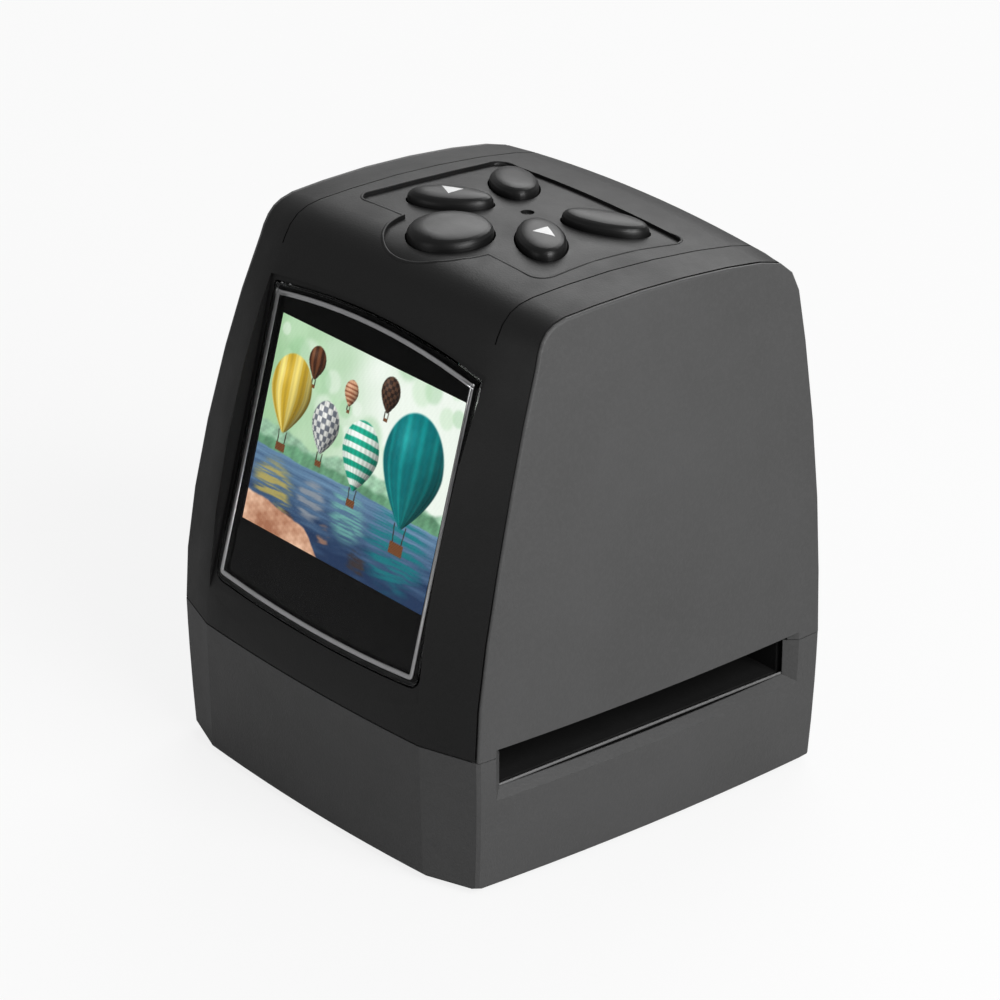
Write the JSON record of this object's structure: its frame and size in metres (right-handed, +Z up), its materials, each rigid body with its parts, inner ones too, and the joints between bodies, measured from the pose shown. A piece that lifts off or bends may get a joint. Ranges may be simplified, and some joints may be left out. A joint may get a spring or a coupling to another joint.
{
  "type": "film negative scanner",
  "caption": "Free-standing scanner for film negatives and slides, with a tilted screen on its front, spring-loaded keys on its top and a film slot through its base.",
  "frame": {"origin": "centre of the bounding box at the feet's undersides, where the scanner stands", "axes": "+Z up; -Y towards the user, out of the screen; +X to the right of a user who faces the screen"},
  "size_m": [0.0832, 0.0854, 0.1009],
  "materials": {
    "casing_grey": "fine moulded texture, satin",
    "casing_black": "satin",
    "key_black": "satin",
    "inner_black": "matt",
    "light_pipe": "milky",
    "screen_window": "polished",
    "display": "smooth",
    "steel": "plated",
    "screw_steel": "plated",
    "circuit_board": "green solder mask",
    "chip": "matt",
    "lens_glass": "coated",
    "diffuser_white": "opal",
    "rubber_foot": "matt"
  },
  "bodies": {
    "housing": {"base_housing": "casing_grey", "left_panel": "casing_grey", "right_panel": "casing_grey", "front_cover": "casing_black", "rear_cover": "casing_black", "status_light": "light_pipe", "screen_window": "screen_window", "display_module": "display", "display_bracket": "steel", "key_board": "circuit_board", "main_board": "circuit_board", "lamp_board": "circuit_board", "sensor_board": "circuit_board", "processor": "chip", "image_sensor": "chip", "film_channel": "inner_black", "film_guide": "inner_black", "light_tunnel": "inner_black", "lens_mount": "inner_black", "lens_barrel": "inner_black", "lens": "lens_glass", "light_box": "diffuser_white", "diffuser": "diffuser_white", "card_socket": "steel", "usb_socket": "steel", "video_socket": "inner_black", "board_screw_1": "screw_steel", "board_screw_2": "screw_steel", "board_screw_3": "screw_steel", "board_screw_4": "screw_steel", "case_screw_1": "screw_steel", "case_screw_2": "screw_steel", "case_screw_3": "screw_steel", "case_screw_4": "screw_steel", "foot_1": "rubber_foot", "foot_2": "rubber_foot", "foot_3": "rubber_foot", "foot_4": "rubber_foot"},
    "power_button": {"power_key": "key_black"},
    "menu_button": {"menu_key": "key_black"},
    "left_button": {"left_key": "key_black"},
    "right_button": {"right_key": "key_black"},
    "scan_button": {"scan_key": "key_black"}
  },
  "joints": [
    {"name": "power_press", "type": "slide", "parent": "housing", "child": "power_button", "axis": [0, 0, -1], "range_m": [0, 0.0007], "stiffness_N_per_m": 600, "springref_m": -0.0004},
    {"name": "menu_press", "type": "slide", "parent": "housing", "child": "menu_button", "axis": [0, 0, -1], "range_m": [0, 0.0007], "stiffness_N_per_m": 600, "springref_m": -0.0004},
    {"name": "left_press", "type": "slide", "parent": "housing", "child": "left_button", "axis": [0, 0, -1], "range_m": [0, 0.0007], "stiffness_N_per_m": 600, "springref_m": -0.0004},
    {"name": "right_press", "type": "slide", "parent": "housing", "child": "right_button", "axis": [0, 0, -1], "range_m": [0, 0.0007], "stiffness_N_per_m": 600, "springref_m": -0.0004},
    {"name": "scan_press", "type": "slide", "parent": "housing", "child": "scan_button", "axis": [0, 0, -1], "range_m": [0, 0.0007], "stiffness_N_per_m": 600, "springref_m": -0.0004}
  ]
}
